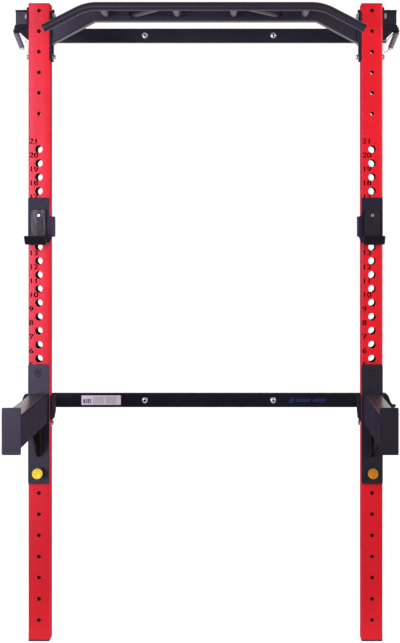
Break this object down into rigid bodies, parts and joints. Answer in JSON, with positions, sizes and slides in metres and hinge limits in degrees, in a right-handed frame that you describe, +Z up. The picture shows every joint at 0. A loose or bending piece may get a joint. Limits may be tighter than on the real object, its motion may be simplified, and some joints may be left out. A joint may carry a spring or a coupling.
{
  "type": "folding squat rack",
  "caption": "Wall-mounted folding squat rack with drilled uprights, swing arms, multi-grip pull-up bar, J-cups, spotter arms and hanging hinge lock pins.",
  "frame": {"origin": "on the floor, under the centre of the rack's bounding box", "axes": "+Z up, +Y towards the wall that the rack is bolted to, +X to the right as seen from the front"},
  "size_m": [1.396, 1.162, 2.26],
  "materials": {
    "red_powder_coat": "satin red powder coat",
    "black_powder_coat": "fine-textured black powder coat",
    "zinc": "bright zinc plating",
    "black_plastic": "matt black plastic",
    "liner_plastic": "glossy dark liner with fine lines",
    "yellow_plastic": "glossy yellow plastic"
  },
  "bodies": {
    "wall_side": {"wall_rail_upper": "black_powder_coat", "lag_bolt_upper_left": "zinc", "wall_bracket_upper_left": "black_powder_coat", "wall_pin_upper_left": "zinc", "lag_bolt_upper_right": "zinc", "wall_bracket_upper_right": "black_powder_coat", "wall_pin_upper_right": "zinc", "wall_rail_lower": "black_powder_coat", "lag_bolt_lower_left": "zinc", "wall_bracket_lower_left": "black_powder_coat", "wall_pin_lower_left": "zinc", "lag_bolt_lower_right": "zinc", "wall_bracket_lower_right": "black_powder_coat", "wall_pin_lower_right": "zinc"},
    "left_arms": {"swing_arm_upper_left": "black_powder_coat", "swing_arm_lower_left": "black_powder_coat"},
    "right_arms": {"swing_arm_upper_right": "black_powder_coat", "swing_arm_lower_right": "black_powder_coat"},
    "front_frame": {"upright_left": "red_powder_coat", "top_cap_left": "red_powder_coat", "foot_cap_left": "black_plastic", "upright_right": "red_powder_coat", "top_cap_right": "red_powder_coat", "foot_cap_right": "black_plastic", "upright_pin_upper_left": "zinc", "side_plate_bolt_upper_left": "zinc", "upright_pin_upper_right": "zinc", "side_plate_bolt_upper_right": "zinc", "upright_pin_lower_left": "zinc", "side_plate_bolt_lower_left": "zinc", "upright_pin_lower_right": "zinc", "side_plate_bolt_lower_right": "zinc", "pull_up_front_bar": "black_powder_coat", "pull_up_rear_beam": "black_powder_coat", "pull_up_grip_1": "black_powder_coat", "pull_up_grip_2": "black_powder_coat", "pull_up_grip_3": "black_powder_coat", "pull_up_grip_4": "black_powder_coat", "pull_up_grip_5": "black_powder_coat", "pull_up_grip_6": "black_powder_coat", "upright_bracket_upper_left": "black_powder_coat", "upright_bracket_lower_left": "black_powder_coat", "bracket_bolt_left": "zinc", "pull_up_side_plate_left": "black_powder_coat", "upright_bracket_upper_right": "black_powder_coat", "upright_bracket_lower_right": "black_powder_coat", "bracket_bolt_right": "zinc", "pull_up_side_plate_right": "black_powder_coat"},
    "j_cup_left": {"j_cup_left": "black_powder_coat", "j_cup_liner_left": "black_plastic"},
    "safety_arm_left": {"safety_arm_left": "black_powder_coat", "safety_arm_liner_left": "liner_plastic"},
    "safety_knob_left": {"safety_knob_left": "yellow_plastic"},
    "lock_pin_left": {"lock_pin_left": "zinc"},
    "j_cup_right": {"j_cup_right": "black_powder_coat", "j_cup_liner_right": "black_plastic"},
    "safety_arm_right": {"safety_arm_right": "black_powder_coat", "safety_arm_liner_right": "liner_plastic"},
    "safety_knob_right": {"safety_knob_right": "yellow_plastic"},
    "lock_pin_right": {"lock_pin_right": "zinc"}
  },
  "joints": [
    {"name": "left_fold", "type": "hinge", "parent": "wall_side", "child": "left_arms", "pos_m": [-0.66, 0.516, 0.7935], "axis": [0, 0, 1], "range_deg": [0, 75]},
    {"name": "right_fold", "type": "hinge", "parent": "wall_side", "child": "right_arms", "pos_m": [0.66, 0.516, 0.7935], "axis": [0, 0, 1], "range_deg": [0, 75]},
    {"name": "frame_swing", "type": "hinge", "parent": "left_arms", "child": "front_frame", "pos_m": [-0.66, 0.166, 0.7935], "axis": [0, 0, 1], "range_deg": [-75, 0]},
    {"name": "j_cup_left_slide", "type": "slide", "parent": "front_frame", "child": "j_cup_left", "axis": [0, -1, 0], "range_m": [0, 0.09]},
    {"name": "safety_arm_left_slide", "type": "slide", "parent": "front_frame", "child": "safety_arm_left", "axis": [0, -1, 0], "range_m": [0, 0.09]},
    {"name": "safety_knob_left_pull", "type": "slide", "parent": "safety_arm_left", "child": "safety_knob_left", "axis": [0, -1, 0], "range_m": [0, 0.018], "stiffness_N_per_m": 400, "springref_m": -0.01},
    {"name": "lock_pin_left_swing", "type": "hinge", "parent": "front_frame", "child": "lock_pin_left", "pos_m": [-0.69, 0.144, 2.175], "axis": [0, 1, 0], "range_deg": [-12, 60]},
    {"name": "j_cup_right_slide", "type": "slide", "parent": "front_frame", "child": "j_cup_right", "axis": [0, -1, 0], "range_m": [0, 0.09]},
    {"name": "safety_arm_right_slide", "type": "slide", "parent": "front_frame", "child": "safety_arm_right", "axis": [0, -1, 0], "range_m": [0, 0.09]},
    {"name": "safety_knob_right_pull", "type": "slide", "parent": "safety_arm_right", "child": "safety_knob_right", "axis": [0, -1, 0], "range_m": [0, 0.018], "stiffness_N_per_m": 400, "springref_m": -0.01},
    {"name": "lock_pin_right_swing", "type": "hinge", "parent": "front_frame", "child": "lock_pin_right", "pos_m": [0.69, 0.144, 2.175], "axis": [0, 1, 0], "range_deg": [-60, 12]}
  ],
  "couplings": [
    {"joint": "right_fold", "follows": "left_fold", "ratio": 1},
    {"joint": "frame_swing", "follows": "left_fold", "ratio": -1}
  ]
}
